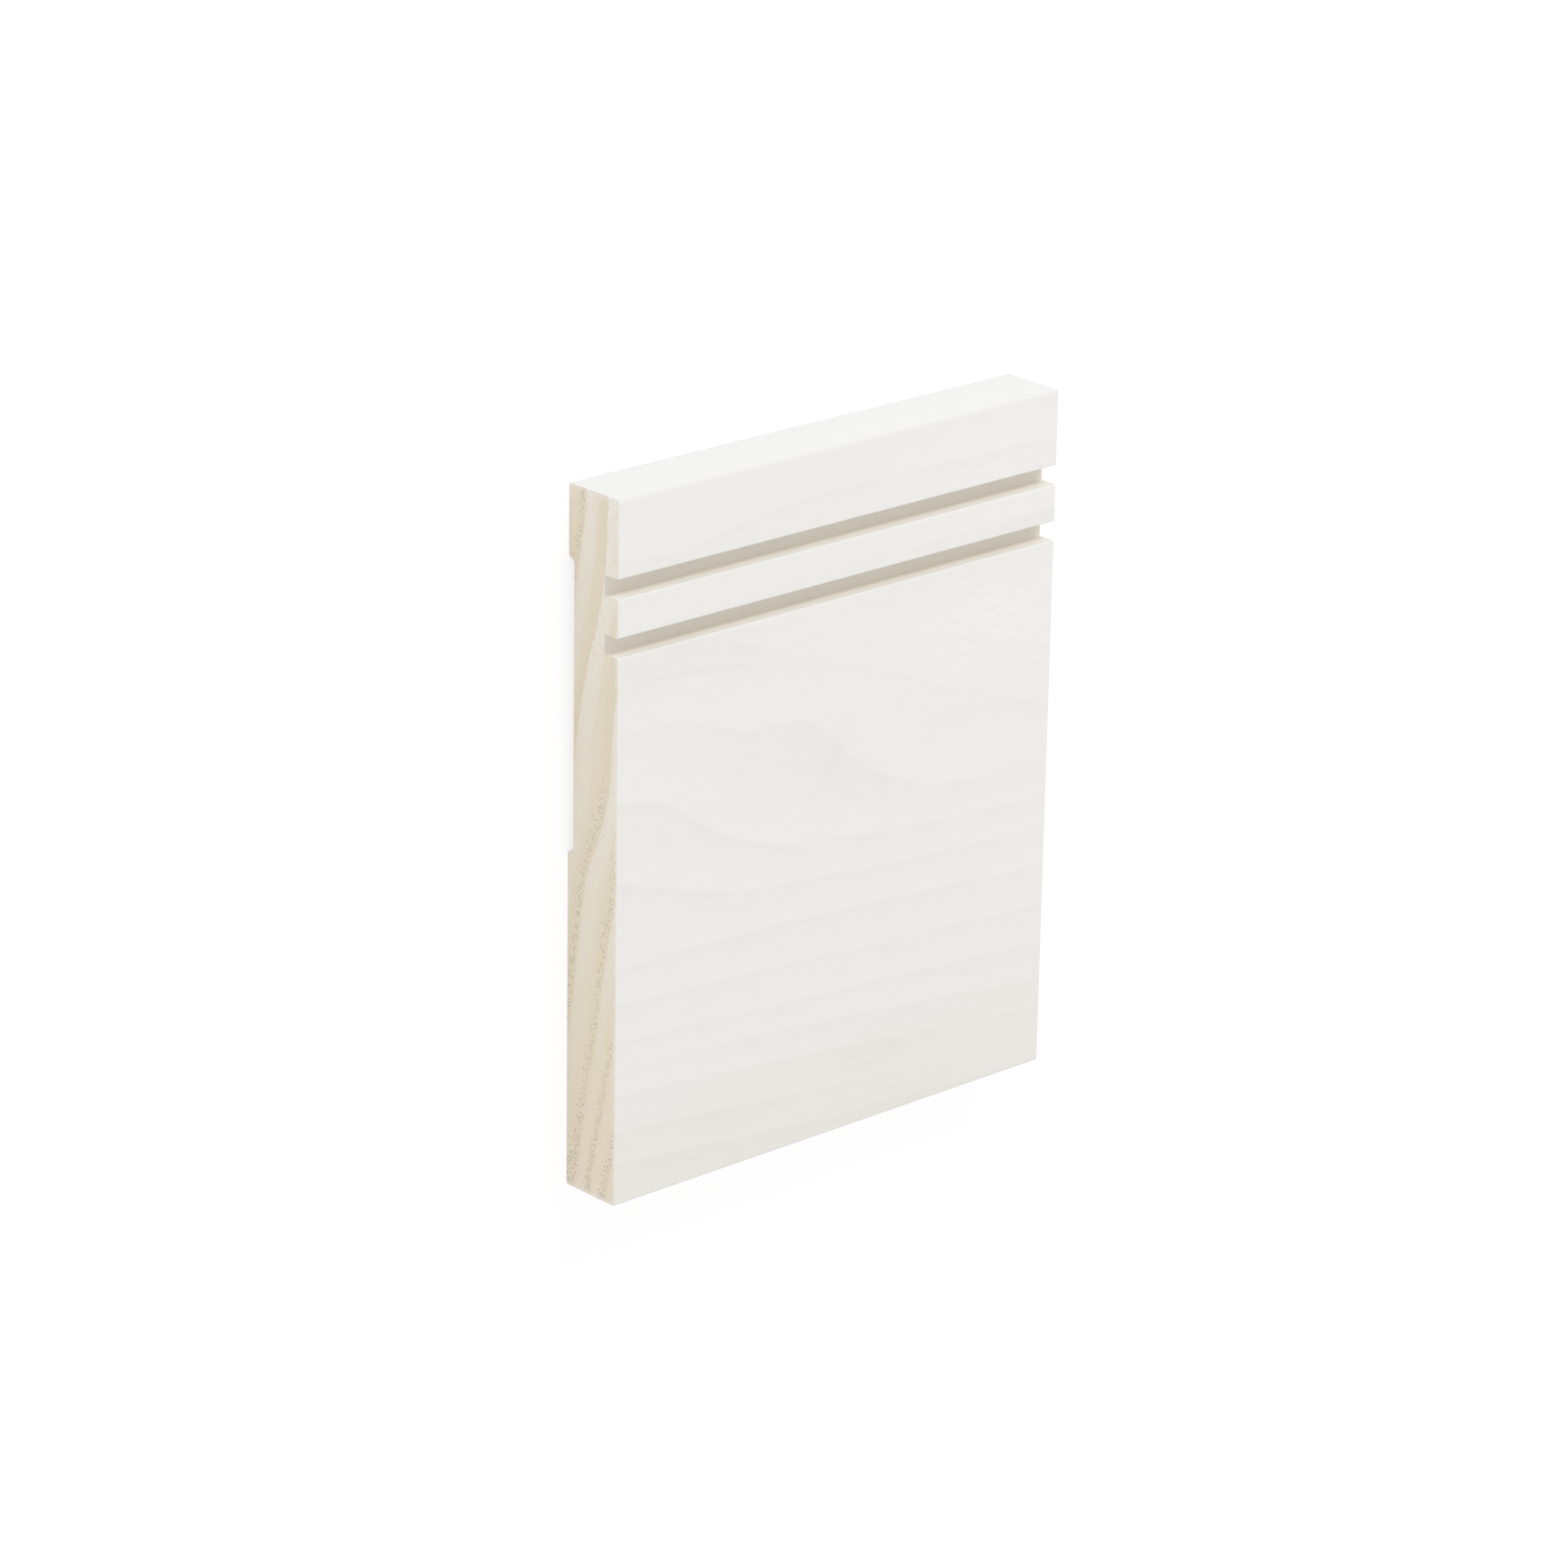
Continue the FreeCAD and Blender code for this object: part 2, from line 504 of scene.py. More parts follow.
# White factory coat, sprayed on planed pine and sanded: an opaque, matt, slightly warm white. The
# rings and fibres under it still show as faint warm lines and a very low relief.
coat = {
    "colour": "#f0eeeb",
    "edgeColour": "#ededeb",  # the long edges are a slightly darker, more neutral white
    "ringColour": "#e4e1da",
    "ringStrength": 0.36,
    "raggedness": 0.5,
    "wallPaintedLight": "#f8f3e5",  # painted light on the groove walls, warmed by the pine under the thinner coat there
    "deepShadeColour": "#e4dfd6",  # painted shade in the grooves' deepest part, where the coat is also thinnest
    "arrisShadeTint": "#faf9f8",  # painted shade on the arrises, against the lamp's highlight there
    "lowShadeTint": "#fcfbf8",  # painted shade over the lowest stretch, where the light falls off downwards, and a slightly thinner coat there
    "lowShadeStretch": 34.0,
    "roughness": 0.55,
    "fibreWidth": 0.35,  # drawn about ten times as wide as a real pine fibre, so that it shows
    "fibreLength": 3.5,
    "fibreRelief": 0.012,
    "streakLength": 10.0,
    "streaksInRing": 7.0,
    "fleckLength": 4.0,
    "fleckWidth": 0.65,
    "bundleLength": 20.0,
    "bundleWidth": 0.75,
    "bundleSlope": 4.0,  # degrees down towards the right end
    "stippleSize": 0.45,
    "stippleRelief": 0.004,
}


def coatedPine():
    c = coat
    material, tree, surface = newMaterial("matt white coat on planed pine")
    place = addNode(tree, "TexCoord").outputs["Object"]
    figure = addNode(tree, "Attribute", {"attribute_name": "showFigure"}).outputs["Fac"]
    width = addNode(tree, "Attribute", {"attribute_name": "ringWidth"}).outputs["Fac"]
    strength = addNode(tree, "Attribute", {"attribute_name": "ringStrength"}).outputs["Fac"]
    wall = addNode(tree, "Attribute", {"attribute_name": "grooveWallLight"}).outputs["Fac"]
    deepShade = addNode(tree, "Attribute", {"attribute_name": "grooveDeepShade"}).outputs["Fac"]
    patch = addNode(tree, "Attribute", {"attribute_name": "patch"}).outputs["Fac"]
    bundle = addNode(tree, "Attribute", {"attribute_name": "bundle"}).outputs["Fac"]
    edge = addNode(tree, "Attribute", {"attribute_name": "edgeCoat"}).outputs["Fac"]
    arrisShade = addNode(tree, "Attribute", {"attribute_name": "arrisShade"}).outputs["Fac"]

    # rings: ragged along their lines, dark just below each line and fading downwards, as ringShade gives
    reach = c["raggedness"]
    ragged = addNode(tree, "TexNoise", {"Scale": 1 / (1.3 * mm), "Detail": 4.0}, {"Vector": place})
    wander = addNode(tree, "MapRange", {3: -reach, 4: reach}, {0: ragged.outputs["Fac"]})
    wander = addNode(tree, "Math", {"operation": "DIVIDE"}, {0: wander.outputs[0], 1: width})
    wavy = addNode(tree, "Math", {"operation": "ADD"}, {0: figure, 1: wander.outputs[0]})
    share = addNode(tree, "Math", {"operation": "FRACT"}, {0: wavy.outputs[0]})
    below = addNode(tree, "Math", {"operation": "MULTIPLY"}, {0: share.outputs[0], 1: width})
    slope = addNode(tree, "Math", {"operation": "DIVIDE", 1: -1.5}, {0: below.outputs[0]})
    steep = addNode(tree, "Math", {"operation": "EXPONENT"}, {0: slope.outputs[0]})
    rest = addNode(tree, "Math", {"operation": "SUBTRACT", 0: 1.0}, {1: share.outputs[0]})
    slow = addNode(tree, "Math", {"operation": "POWER", 1: 1.1}, {0: rest.outputs[0]})
    slow = addNode(tree, "Math", {"operation": "MULTIPLY", 1: 0.65}, {0: slow.outputs[0]})
    fade = addNode(tree, "Math", {"operation": "MULTIPLY_ADD", 1: 0.35},
                   {0: steep.outputs[0], 2: slow.outputs[0]})
    rise = addNode(tree, "MapRange", {"interpolation_type": "SMOOTHSTEP", 2: board["ringRise"]},
                   {0: below.outputs[0]})
    ringTone = addNode(tree, "Math", {"operation": "MULTIPLY"}, {0: fade.outputs[0], 1: rise.outputs[0]})
    ringTone = addNode(tree, "Math", {"operation": "MULTIPLY"}, {0: ringTone.outputs[0], 1: strength})

    # fibres: long fine streaks that follow the board
    stretched = addNode(tree, "Mapping", {
        "Scale": (1 / (c["fibreLength"] * mm), 1 / (c["fibreWidth"] * mm), 1 / (c["fibreWidth"] * mm)),
    }, {"Vector": place})
    fibres = addNode(tree, "TexNoise", {"Scale": 1.0, "Detail": 4.0, "Roughness": 0.6},
                     {"Vector": stretched.outputs[0]})
    fibreTone = addNode(tree, "MapRange", {1: 0.3, 2: 0.7, 3: 0.6, 4: 1.4}, {0: fibres.outputs["Fac"]})
    ringAmount = addNode(tree, "Math", {"operation": "MULTIPLY"},
                         {0: ringTone.outputs[0], 1: fibreTone.outputs[0]})

    # streaks: broader, following the rings, so that each ring comes and goes along the board
    split = addNode(tree, "SeparateXYZ", {}, {0: place})
    streakX = addNode(tree, "Math", {"operation": "DIVIDE", 1: c["streakLength"] * mm},
                      {0: split.outputs["X"]})
    streakY = addNode(tree, "Math", {"operation": "MULTIPLY", 1: c["streaksInRing"]}, {0: figure})
    streakPlace = addNode(tree, "CombineXYZ", {}, {0: streakX.outputs[0], 1: streakY.outputs[0]})
    streaks = addNode(tree, "TexNoise", {"Scale": 1.0, "Detail": 3.0, "Roughness": 0.6},
                      {"Vector": streakPlace.outputs[0]})
    streakTone = addNode(tree, "MapRange", {1: 0.3, 2: 0.7, 3: 0.65, 4: 1.35}, {0: streaks.outputs["Fac"]})
    streaky = addNode(tree, "Math", {"operation": "MULTIPLY"},
                      {0: ringAmount.outputs[0], 1: streakTone.outputs[0]})
    loose = addNode(tree, "MapRange", {1: 0.45, 2: 0.75, 4: 0.35}, {0: streaks.outputs["Fac"]})
    together = addNode(tree, "Math", {"operation": "MULTIPLY_ADD"},
                       {0: loose.outputs[0], 1: strength, 2: streaky.outputs[0]})

    # patches: broken into short flecks along the board
    drawn = addNode(tree, "Mapping", {
        "Scale": (1 / (c["fleckLength"] * mm), 1 / (c["fleckWidth"] * mm), 1 / (c["fleckWidth"] * mm)),
    }, {"Vector": place})
    flecks = addNode(tree, "TexNoise", {"Scale": 1.0, "Detail": 3.0}, {"Vector": drawn.outputs[0]})
    fleckTone = addNode(tree, "MapRange", {1: 0.38, 2: 0.64, 3: 0.2, 4: 1.8}, {0: flecks.outputs["Fac"]})
    together = addNode(tree, "Math", {"operation": "MULTIPLY_ADD"},
                       {0: patch, 1: fleckTone.outputs[0], 2: together.outputs[0]})
    # bundles: long dark streaks, a little steeper than the board's edges
    lengthways = addNode(tree, "Mapping", {
        "vector_type": "TEXTURE", "Rotation": (0, 0, -math.radians(c["bundleSlope"])),
        "Scale": (c["bundleLength"] * mm, c["bundleWidth"] * mm, c["bundleWidth"] * mm),
    }, {"Vector": place})
    lines = addNode(tree, "TexNoise", {"Scale": 1.0, "Detail": 2.0}, {"Vector": lengthways.outputs[0]})
    lineTone = addNode(tree, "MapRange", {1: 0.4, 2: 0.62, 3: 0.15, 4: 1.85}, {0: lines.outputs["Fac"]})
    together = addNode(tree, "Math", {"operation": "MULTIPLY_ADD"},
                       {0: bundle, 1: lineTone.outputs[0], 2: together.outputs[0]})
    ringAmount = addNode(tree, "Math", {"operation": "MULTIPLY", 1: c["ringStrength"]},
                         {0: together.outputs[0]})

    # colour: rings and patches, then painted shade over the lowest stretch and on the arrises, painted light
    # on the groove walls and painted shade deep in the grooves
    lowest = cadLow.y
    # painted shade over the lowest stretch of the show face
    lowShadeStretch = addNode(tree, "MapRange", {
        "interpolation_type": "SMOOTHSTEP", 1: lowest + c["lowShadeStretch"] * mm, 2: lowest,
    }, {0: split.outputs["Y"]})
    plain = addNode(tree, "Mix", {"data_type": "RGBA", 6: linear(c["colour"]), 7: linear(c["edgeColour"])},
                    {0: edge})
    ringed = addNode(tree, "Mix", {"data_type": "RGBA", "clamp_factor": False, 7: linear(c["ringColour"])},
                     {0: ringAmount.outputs[0], 6: plain.outputs[2]})
    lowShaded = addNode(tree, "Mix", {
        "data_type": "RGBA", "blend_type": "MULTIPLY", 7: linear(c["lowShadeTint"]),
    }, {0: lowShadeStretch.outputs[0], 6: ringed.outputs[2]})
    # painted shade on the arrises
    arrisShaded = addNode(tree, "Mix", {
        "data_type": "RGBA", "blend_type": "MULTIPLY", 7: linear(c["arrisShadeTint"]),
    }, {0: arrisShade, 6: lowShaded.outputs[2]})
    # painted light on the groove walls, warmed where the coat is thin
    wallLit = addNode(tree, "Mix", {"data_type": "RGBA", 7: linear(c["wallPaintedLight"])},
                     {0: wall, 6: arrisShaded.outputs[2]})
    # painted shade in the deepest part of the grooves
    deepShaded = addNode(tree, "Mix", {"data_type": "RGBA", 7: linear(c["deepShadeColour"])},
                       {0: deepShade, 6: wallLit.outputs[2]})
    tree.links.new(deepShaded.outputs[2], surface.inputs["Base Color"])
    surface.inputs["Roughness"].default_value = c["roughness"]

    # relief: fibres, then the stipple that spraying leaves
    stipple = addNode(tree, "TexNoise", {"Scale": 1 / (c["stippleSize"] * mm), "Detail": 2.0},
                      {"Vector": place})
    fibreRelief = addNode(tree, "Bump", {"Distance": c["fibreRelief"] * mm},
                          {"Height": fibres.outputs["Fac"]})
    relief = addNode(tree, "Bump", {"Distance": c["stippleRelief"] * mm},
                     {"Height": stipple.outputs["Fac"], "Normal": fibreRelief.outputs[0]})
    tree.links.new(relief.outputs[0], surface.inputs["Normal"])
    return material


# Pine sawn across the grain: dull and rough, cream early wood that darkens to a straw-coloured line
# at the end of each year's growth, small grey resin canals beside those lines, and faint saw marks.
endGrain = {
    "earlyWood": "#ebe4d5",
    "lateWood": "#e8ddc9",
    "ringLine": "#e4d9c3",
    "pastLine": "#e8dfcf",
    "mist": "#f2efe8",  # specks of the coat caught in the open early wood
    "lowerColour": "#e6dbc5",  # darker and more even towards the bottom
    "lowerShare": 0.75,
    "canalColour": "#a09990",
    "canalSpacing": 0.5,
    "canalRadius": 0.135,
    "canalRise": 0.2,  # share of a ring's width over which they become as common as they get
    "canalEnd": 0.97,  # share of a ring's width past which it has no canals
    "cellSize": 0.16,
    "filmWidth": 1.3,
    "filmCover": 0.75,
    "sawMarkWidth": 0.35,
    "roughness": 0.85,
}


def sawnPineEnd():
    c = endGrain
    material, tree, surface = newMaterial("pine sawn across the grain")
    place = addNode(tree, "TexCoord").outputs["Object"]
    ring = addNode(tree, "Attribute", {"attribute_name": "growthRing"}).outputs["Fac"]
    ragged = addNode(tree, "TexNoise", {"Scale": 1 / (1.6 * mm), "Detail": 6.0, "Roughness": 0.6},
                     {"Vector": place})
    wander = addNode(tree, "MapRange", {3: -0.05, 4: 0.05}, {0: ragged.outputs["Fac"]})
    wavy = addNode(tree, "Math", {"operation": "ADD"}, {0: ring, 1: wander.outputs[0]})
    share = addNode(tree, "Math", {"operation": "FRACT"}, {0: wavy.outputs[0]})

    # layers within a ring, and single rows of cells: both blur the way from early to late wood
    split = addNode(tree, "SeparateXYZ", {}, {0: place})
    layerRing = addNode(tree, "Math", {"operation": "MULTIPLY", 1: 7.0}, {0: ring})
    layerDown = addNode(tree, "Math", {"operation": "DIVIDE", 1: 14 * mm}, {0: split.outputs["Y"]})
    layerPlace = addNode(tree, "CombineXYZ", {}, {0: layerRing.outputs[0], 1: layerDown.outputs[0]})
    layers = addNode(tree, "TexNoise", {"Scale": 1.0, "Detail": 2.0}, {"Vector": layerPlace.outputs[0]})
    rows = addNode(tree, "TexNoise", {"Scale": 1 / (0.5 * mm), "Detail": 3.0}, {"Vector": place})
    mottle = addNode(tree, "Math", {"operation": "ADD"}, {0: layers.outputs["Fac"], 1: rows.outputs["Fac"]})
    shift = addNode(tree, "MapRange", {1: 0.7, 2: 1.3, 3: -0.16, 4: 0.16}, {0: mottle.outputs[0]})
    mottled = addNode(tree, "Math", {"operation": "ADD"}, {0: share.outputs[0], 1: shift.outputs[0]})
    ramp = addNode(tree, "ValToRGB", {"stops": [
        (0.0, c["pastLine"]), (0.08, c["earlyWood"]), (0.38, c["earlyWood"]), (0.6, c["lateWood"]),
        (0.95, c["ringLine"]),
    ]}, {0: mottled.outputs[0]})
    # darker and more even towards the bottom of the end
    evened = addNode(tree, "MapRange", {
        "interpolation_type": "SMOOTHSTEP", 1: 5 * mm, 2: -72 * mm, 4: c["lowerShare"],
    }, {0: split.outputs["Y"]})
    wood = addNode(tree, "Mix", {"data_type": "RGBA", 7: linear(c["lowerColour"])},
                   {0: evened.outputs[0], 6: ramp.outputs[0]})

    # mist: upright specks in the early wood, most of them near the top edge and the show face
    upright = addNode(tree, "Mapping", {"Scale": (1.0, 1 / (1.1 * mm), 1 / (0.3 * mm))}, {"Vector": place})
    specks = addNode(tree, "TexNoise", {"Scale": 1.0, "Detail": 2.0}, {"Vector": upright.outputs[0]})
    caught = addNode(tree, "MapRange", {1: 0.43, 2: 0.56}, {0: specks.outputs["Fac"]})
    openWood = addNode(tree, "MapRange", {1: 0.5, 2: 0.15}, {0: mottled.outputs[0]})
    high = addNode(tree, "MapRange", {1: -40 * mm, 2: 55 * mm}, {0: split.outputs["Y"]})
    outer = addNode(tree, "MapRange", {1: 2 * mm, 2: 11 * mm}, {0: split.outputs["Z"]})
    misty = addNode(tree, "Math", {"operation": "MULTIPLY"}, {0: caught.outputs[0], 1: openWood.outputs[0]})
    where = addNode(tree, "Math", {"operation": "MULTIPLY"}, {0: high.outputs[0], 1: outer.outputs[0]})
    misty = addNode(tree, "Math", {"operation": "MULTIPLY"}, {0: misty.outputs[0], 1: where.outputs[0]})
    speckled = addNode(tree, "Mix", {"data_type": "RGBA", 7: linear(c["mist"])},
                       {0: misty.outputs[0], 6: wood.outputs[2]})

    # resin canals: dots scattered in the late wood, crowded towards its line and the floor edge, and
    # hidden where the mist is
    section = addNode(tree, "CombineXYZ", {}, {0: split.outputs["Y"], 1: split.outputs["Z"]})
    cells = addNode(tree, "TexVoronoi", {
        "voronoi_dimensions": "2D", "Scale": 1 / (c["canalSpacing"] * mm), "Randomness": 0.8,
    }, {"Vector": section.outputs[0]})
    dotSize = c["canalRadius"] / c["canalSpacing"]
    dots = addNode(tree, "MapRange", {
        "interpolation_type": "SMOOTHSTEP", 1: dotSize * 1.15, 2: dotSize * 0.75,
    }, {0: cells.outputs["Distance"]})
    most = addNode(tree, "Attribute", {"attribute_name": "canalChance"}).outputs["Fac"]
    first = addNode(tree, "Attribute", {"attribute_name": "canalStart"}).outputs["Fac"]
    inRing = addNode(tree, "Math", {"operation": "FRACT"}, {0: ring})
    common = addNode(tree, "Math", {"operation": "ADD", 1: c["canalRise"]}, {0: first})
    late = addNode(tree, "MapRange", {}, {0: inRing.outputs[0], 1: first, 2: common.outputs[0]})
    ended = addNode(tree, "MapRange", {1: c["canalEnd"], 2: c["canalEnd"] - 0.06}, {0: inRing.outputs[0]})
    late = addNode(tree, "Math", {"operation": "MULTIPLY"}, {0: late.outputs[0], 1: ended.outputs[0]})
    clear = addNode(tree, "Math", {"operation": "SUBTRACT", 0: 1.0}, {1: where.outputs[0]})
    late = addNode(tree, "Math", {"operation": "MULTIPLY"}, {0: late.outputs[0], 1: clear.outputs[0]})
    chance = addNode(tree, "Math", {"operation": "MULTIPLY"}, {0: late.outputs[0], 1: most})
    draw = addNode(tree, "SeparateColor", {}, {0: cells.outputs["Color"]})
    picked = addNode(tree, "Math", {"operation": "SUBTRACT"}, {0: chance.outputs[0], 1: draw.outputs[0]})
    picked = addNode(tree, "MapRange", {1: -0.04, 2: 0.08}, {0: picked.outputs[0]})
    canals = addNode(tree, "Math", {"operation": "MULTIPLY"}, {0: dots.outputs[0], 1: picked.outputs[0]})
    withCanals = addNode(tree, "Mix", {"data_type": "RGBA", 7: linear(c["canalColour"])},
                         {0: canals.outputs[0], 6: speckled.outputs[2]})

    # cut cells: a fine speckle, and the saw's marks, slightly slanted across the thickness
    speckle = addNode(tree, "TexNoise", {"Scale": 1 / (c["cellSize"] * mm), "Detail": 2.0}, {"Vector": place})
    turned = addNode(tree, "Mapping", {
        "vector_type": "TEXTURE", "Rotation": (math.radians(9), 0, 0),
        "Scale": (1.0, c["sawMarkWidth"] * mm, 9 * mm),
    }, {"Vector": place})
    saw = addNode(tree, "TexNoise", {"Scale": 1.0, "Detail": 3.0}, {"Vector": turned.outputs[0]})
    both = addNode(tree, "Math", {"operation": "MULTIPLY_ADD", 1: 0.4},
                   {0: saw.outputs["Fac"], 2: speckle.outputs["Fac"]})
    tone = addNode(tree, "MapRange", {1: 0.4, 2: 1.0, 3: 0.975, 4: 1.02}, {0: both.outputs[0]})

    # the coat wraps a little way over the rims of the sawn end
    rims = []
    for axis, rim, inside in (("Z", cadHigh.z, -1), ("Y", cadHigh.y, -1), ("Y", cadLow.y, 1)):
        start = rim + inside * c["filmWidth"] * mm
        rims.append(addNode(tree, "MapRange", {
            "interpolation_type": "SMOOTHSTEP", 1: start, 2: rim, 4: c["filmCover"],
        }, {0: split.outputs[axis]}))
    film = addNode(tree, "Math", {"operation": "MAXIMUM"}, {0: rims[0].outputs[0], 1: rims[1].outputs[0]})
    film = addNode(tree, "Math", {"operation": "MAXIMUM"}, {0: film.outputs[0], 1: rims[2].outputs[0]})
    patchy = addNode(tree, "MapRange", {1: 0.35, 2: 0.6}, {0: ragged.outputs["Fac"]})
    film = addNode(tree, "Math", {"operation": "MULTIPLY"}, {0: film.outputs[0], 1: patchy.outputs[0]})
    filmed = addNode(tree, "Mix", {"data_type": "RGBA", 7: linear(coat["colour"])},
                     {0: film.outputs[0], 6: withCanals.outputs[2]})
    toned = addNode(tree, "VectorMath", {"operation": "SCALE"},
                    {0: filmed.outputs[2], "Scale": tone.outputs[0]})
    tree.links.new(toned.outputs[0], surface.inputs["Base Color"])
    surface.inputs["Roughness"].default_value = c["roughness"]
    relief = addNode(tree, "Bump", {"Distance": 0.02 * mm}, {"Height": both.outputs[0]})
    tree.links.new(relief.outputs[0], surface.inputs["Normal"])
    return material


# Pine planed along the grain and left bare: straw-coloured, a soft sheen, rings as long bands with
# one sharp side, fine fibres and short dark canal lines, and the ripple that the cutter head leaves.
plane = {
    "earlyWood": "#ebe1cd",
    "lateWood": "#dfcca8",
    "ringLine": "#d3bb91",
    "fibreColour": "#cdb892",
    "fibreWidth": 0.3,
    "fibreLength": 14.0,
    "ripple": 1.4,
    "rippleRelief": 0.006,
    "oversprayWidth": 5.0,
    "roughness": 0.6,
}


def planedPineBack():
    c = plane
    material, tree, surface = newMaterial("bare planed pine")
    place = addNode(tree, "TexCoord").outputs["Object"]
    ring = addNode(tree, "Attribute", {"attribute_name": "growthRing"}).outputs["Fac"]
    broad = addNode(tree, "Mapping", {"Scale": (1 / (55 * mm), 1 / (7 * mm), 1 / (7 * mm))},
                    {"Vector": place})
    ragged = addNode(tree, "TexNoise", {"Scale": 1.0, "Detail": 2.5, "Roughness": 0.4},
                     {"Vector": broad.outputs[0]})
    wander = addNode(tree, "MapRange", {3: -0.09, 4: 0.09}, {0: ragged.outputs["Fac"]})
    wavy = addNode(tree, "Math", {"operation": "ADD"}, {0: ring, 1: wander.outputs[0]})
    finer = addNode(tree, "Math", {"operation": "MULTIPLY", 1: 4.0}, {0: wavy.outputs[0]})
    share = addNode(tree, "Math", {"operation": "FRACT"}, {0: finer.outputs[0]})
    ramp = addNode(tree, "ValToRGB", {"stops": [
        (0.0, c["lateWood"]), (0.06, c["earlyWood"]), (0.4, c["earlyWood"]), (0.88, c["lateWood"]),
        (0.97, c["ringLine"]),
    ]}, {0: share.outputs[0]})
    stretched = addNode(tree, "Mapping", {
        "Scale": (1 / (c["fibreLength"] * mm), 1 / (c["fibreWidth"] * mm), 1 / (c["fibreWidth"] * mm)),
    }, {"Vector": place})
    fibres = addNode(tree, "TexNoise", {"Scale": 1.0, "Detail": 5.0, "Roughness": 0.62},
                     {"Vector": stretched.outputs[0]})
    streaks = addNode(tree, "MapRange", {1: 0.52, 2: 0.8, 4: 0.5}, {0: fibres.outputs["Fac"]})
    grained = addNode(tree, "Mix", {"data_type": "RGBA", 7: linear(c["fibreColour"])},
                      {0: streaks.outputs[0], 6: ramp.outputs[0]})

    # overspray: the coat's mist has drifted a little way in from both long edges
    split = addNode(tree, "SeparateXYZ", {}, {0: place})
    fromMiddle = addNode(tree, "Math", {"operation": "ABSOLUTE"}, {0: split.outputs["Y"]})
    half = cadHigh.y
    drifted = addNode(tree, "MapRange", {1: half - c["oversprayWidth"] * mm, 2: half},
                      {0: fromMiddle.outputs[0]})
    uneven = addNode(tree, "Math", {"operation": "MULTIPLY"},
                     {0: fibres.outputs["Fac"], 1: drifted.outputs[0]})
    covered = addNode(tree, "MapRange", {1: 0.1, 2: 0.5, 4: 0.9}, {0: uneven.outputs[0]})
    sprayed = addNode(tree, "Mix", {"data_type": "RGBA", 7: linear(coat["colour"])},
                      {0: covered.outputs[0], 6: grained.outputs[2]})
    tree.links.new(sprayed.outputs[2], surface.inputs["Base Color"])
    surface.inputs["Roughness"].default_value = c["roughness"]

    # a wave texture repeats every pi / 10 of its own units
    ripple = addNode(tree, "TexWave", {
        "bands_direction": "X", "Scale": math.pi / 10 / (c["ripple"] * mm), "Distortion": 0.4,
    }, {"Vector": place})
    fibreRelief = addNode(tree, "Bump", {"Distance": 0.015 * mm}, {"Height": fibres.outputs["Fac"]})
    relief = addNode(tree, "Bump", {"Distance": c["rippleRelief"] * mm},
                     {"Height": ripple.outputs["Fac"], "Normal": fibreRelief.outputs[0]})
    tree.links.new(relief.outputs[0], surface.inputs["Normal"])
    return material


boardPiece = makeBoard()
for finish in (coatedPine(), sawnPineEnd(), planedPineBack()):
    boardPiece.data.materials.append(finish)
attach(boardPiece, "root")
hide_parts("skirting_board")
print("board: finishes applied")

# Studio: a white floor that keeps a faint shadow, an even white surround and one soft lamp from
# beyond the top edge, which leaves the grooves in shade.
studio = {
    "floorHalfWidth": 4000.0,
    "floorBelow": 0.02,  # just under the board, so that the two faces don't coincide
    "floorWhite": 0.9,
    "floorShine": 0.7,  # share of the floor's colour that the camera sees unshaded
    "floorGlow": 1.1,
    "surround": 0.937,
    "surroundLean": (-0.15, -0.05, -0.15),  # how much brighter the surround gets towards this direction
    "lampSize": 520.0,
    "lampAway": (300.0, 1350.0, 885.0),
    "lampWatts": 6.85,
}


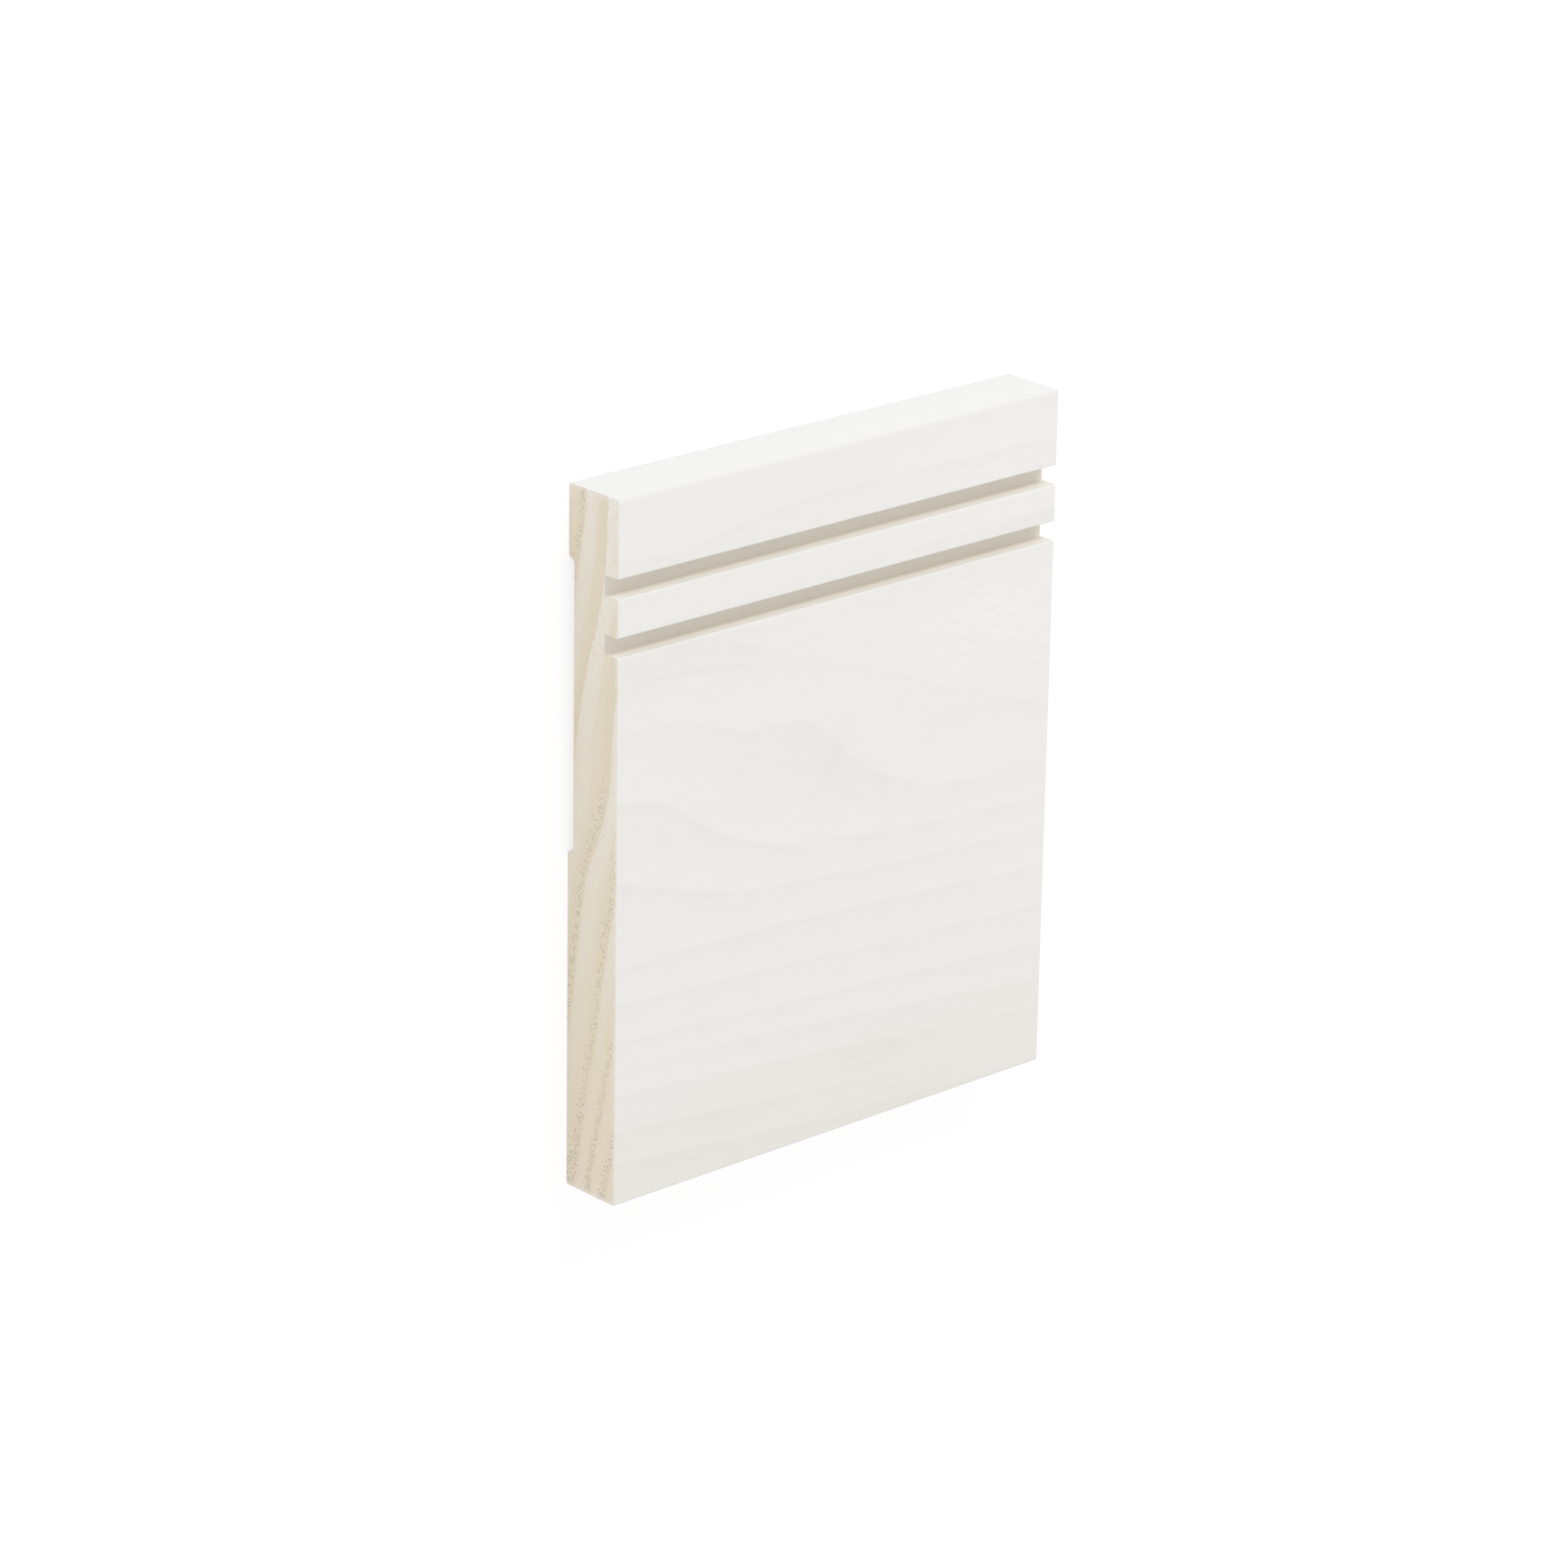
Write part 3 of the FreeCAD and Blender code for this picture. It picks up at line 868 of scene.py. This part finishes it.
def makeStudio():
    s = studio
    half = s["floorHalfWidth"] * mm
    level = -s["floorBelow"] * mm
    floorMesh = bpy.data.meshes.new("studioFloor")
    corners = [(-half, -half, level), (half, -half, level), (half, half, level), (-half, half, level)]
    floorMesh.from_pydata(corners, [], [(0, 1, 2, 3)])
    floor = bpy.data.objects.new("studio_floor", floorMesh)
    bpy.context.scene.collection.objects.link(floor)
    paper = bpy.data.materials.new("white studio paper")
    paper.use_nodes = True
    tree = paper.node_tree
    tree.nodes.clear()
    matt = addNode(tree, "BsdfDiffuse", {"Color": (s["floorWhite"],) * 3 + (1,)})
    plain = addNode(tree, "Emission", {"Color": (1, 1, 1, 1), "Strength": s["floorGlow"]})
    seen = addNode(tree, "LightPath").outputs["Is Camera Ray"]
    share = addNode(tree, "Math", {"operation": "MULTIPLY", 1: s["floorShine"]}, {0: seen})
    mixed = addNode(tree, "MixShader", {}, {0: share.outputs[0], 1: matt.outputs[0], 2: plain.outputs[0]})
    addNode(tree, "OutputMaterial", {}, {"Surface": mixed.outputs[0]})
    floorMesh.materials.append(paper)

    world = bpy.data.worlds.new("even white surround")
    bpy.context.scene.world = world
    world.use_nodes = True
    tree = world.node_tree
    tree.nodes.clear()
    path = addNode(tree, "LightPath")
    shown = addNode(tree, "Math", {"operation": "MAXIMUM"},
                    {0: path.outputs["Is Camera Ray"], 1: path.outputs["Is Glossy Ray"]})
    direction = addNode(tree, "TexCoord").outputs["Generated"]
    lean = addNode(tree, "VectorMath", {"operation": "DOT_PRODUCT", 1: s["surroundLean"]}, {0: direction})
    lit = addNode(tree, "Math", {"operation": "ADD", 1: s["surround"]}, {0: lean.outputs["Value"]})
    strength = addNode(tree, "Mix", {3: 1.0}, {0: shown.outputs[0], 2: lit.outputs[0]})
    sky = addNode(tree, "Background", {"Color": (1, 1, 1, 1)}, {"Strength": strength.outputs[0]})
    addNode(tree, "OutputWorld", {}, {"Surface": sky.outputs[0]})

    lampData = bpy.data.lights.new("softLamp", "AREA")
    lampData.shape = "SQUARE"
    lampData.size = s["lampSize"] * mm
    lampData.energy = s["lampWatts"]
    lamp = bpy.data.objects.new("soft_lamp", lampData)
    lamp.location = Vector(s["lampAway"]) * mm
    lamp.rotation_euler = lamp.location.to_track_quat("Z", "Y").to_euler()
    bpy.context.scene.collection.objects.link(lamp)
    print("studio: floor, surround and lamp set")


# The camera looks down on the lying board from beyond its left end and top edge.
view = {
    "place": (-769.2, 423.2, 847.1),
    "looks": (0.6295, -0.3483, -0.6945),
    "up": (0.2211, 0.9372, -0.2696),
    "lens": 140.6,  # for a 36 mm sensor
}


def makeCamera():
    v = view
    cameraData = bpy.data.cameras.new("camera")
    cameraData.sensor_width = 36.0
    cameraData.lens = v["lens"]
    cameraData.clip_start = 0.05
    cameraData.clip_end = 20.0
    camera = bpy.data.objects.new("camera", cameraData)
    back = -Vector(v["looks"]).normalized()
    right = Vector(v["up"]).cross(back).normalized()
    up = back.cross(right)
    turned = Matrix((right, up, back)).transposed().to_4x4()
    camera.matrix_world = Matrix.Translation(Vector(v["place"]) * mm) @ turned
    bpy.context.scene.collection.objects.link(camera)
    bpy.context.scene.camera = camera
    print("camera: set")


makeStudio()
makeCamera()
bpy.context.scene.view_settings.view_transform = "Standard"
